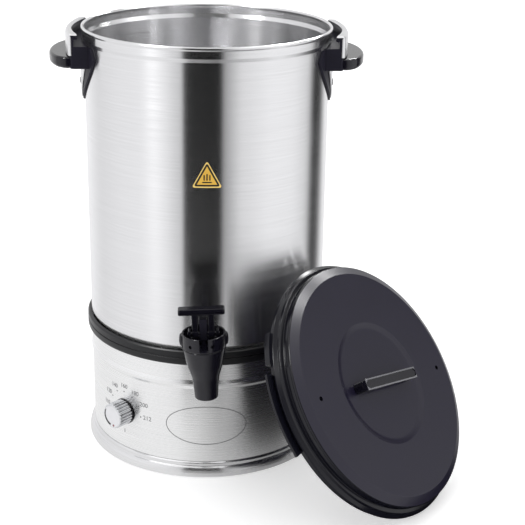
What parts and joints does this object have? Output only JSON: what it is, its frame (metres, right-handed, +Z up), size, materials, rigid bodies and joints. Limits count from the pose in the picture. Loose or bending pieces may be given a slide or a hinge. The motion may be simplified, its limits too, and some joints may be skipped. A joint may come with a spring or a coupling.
{
  "type": "brew kettle",
  "caption": "Tall electric brew kettle with draw-off tap, thermostat knob, side handles and a loose bayonet lid leaning at its front.",
  "frame": {"origin": "centre of the flat underside of the base plate, on the pot axis, 6 mm above the floor the feet stand on", "axes": "+Z up along the pot axis, -Y to the front with the tap, +X to the right-hand handle seen from the front"},
  "size_m": [0.4773, 0.4392, 0.5043],
  "materials": {
    "brushed_steel": "fine horizontal grain, satin",
    "dull_steel": "plain mill finish",
    "chrome": "bright plated",
    "knob_face": "satin pale face with a printed arc",
    "aluminium": "cast, matt",
    "brass": "plain",
    "black_plastic": "moulded black, satin gloss",
    "black_rubber": "matt black",
    "silicone": "translucent white silicone",
    "ceramic": "pale heat-resistant moulding",
    "wire_brown": "wire insulation",
    "wire_blue": "wire insulation",
    "wire_green": "wire insulation"
  },
  "bodies": {
    "kettle": {"pot_shell": "brushed_steel", "band_gasket": "black_rubber", "base_shell": "brushed_steel", "foot_ring": "brushed_steel", "base_plate": "dull_steel", "heat_plate": "aluminium", "heating_element": "dull_steel", "thermal_cutout": "ceramic", "terminal_block": "ceramic", "inlet_housing": "black_plastic", "inlet_pin_live": "brass", "inlet_pin_earth": "brass", "inlet_pin_neutral": "brass", "wire_live": "wire_brown", "wire_earth": "wire_green", "wire_neutral": "wire_blue", "thermostat_body": "ceramic", "thermostat_capillary": "brass", "knob_bezel": "black_plastic", "tap_body": "black_plastic", "tap_gasket_outer": "black_rubber", "tap_gasket_inner": "silicone", "tap_nut": "dull_steel", "tap_bonnet": "black_plastic", "tap_pivot_pin": "dull_steel", "tap_spring": "dull_steel", "base_screw_1": "dull_steel", "foot_pad_1": "black_rubber", "base_screw_2": "dull_steel", "foot_pad_2": "black_rubber", "base_screw_3": "dull_steel", "foot_pad_3": "black_rubber", "base_screw_4": "dull_steel", "foot_pad_4": "black_rubber", "handle_bracket_left": "black_plastic", "handle_hood_left": "brushed_steel", "handle_grip_left": "black_plastic", "handle_trim_left": "brushed_steel", "handle_screw_left": "dull_steel", "handle_bracket_right": "black_plastic", "handle_hood_right": "brushed_steel", "handle_grip_right": "black_plastic", "handle_trim_right": "brushed_steel", "handle_screw_right": "dull_steel"},
    "knob": {"knob": "chrome", "knob_cap": "knob_face", "knob_shaft": "dull_steel"},
    "tap_lever": {"tap_lever": "black_plastic"},
    "tap_stem": {"tap_stem": "brass", "tap_seat_cup": "silicone"},
    "lid": {"lid_shell": "black_plastic", "lid_grip": "black_plastic", "lid_screw_1": "dull_steel", "lid_screw_2": "dull_steel", "lid_gasket": "silicone"}
  },
  "joints": [
    {"name": "thermostat_turn", "type": "hinge", "parent": "kettle", "child": "knob", "pos_m": [-0.10382, -0.10826, 0.059], "axis": [0.6921, 0.7218, 0], "range_deg": [0, 270]},
    {"name": "tap_pull", "type": "hinge", "parent": "kettle", "child": "tap_lever", "pos_m": [-0.00349, -0.174, 0.18998], "axis": [0.999, 0, 0.0436], "range_deg": [0, 70], "stiffness_Nm_per_rad": 0.05, "springref_deg": -17.19},
    {"name": "tap_stem_lift", "type": "slide", "parent": "kettle", "child": "tap_stem", "axis": [-0.0436, 0, 0.999], "range_m": [0, 0.003], "deforming": ["tap_spring"]},
    {"name": "lid_lift", "type": "slide", "parent": "kettle", "child": "lid", "axis": [0.2995, -0.2196, 0.9285], "range_m": [0, 0.3]}
  ],
  "couplings": [
    {"joint": "tap_stem_lift", "follows": "tap_pull", "m_per_rad": 0.0024}
  ]
}
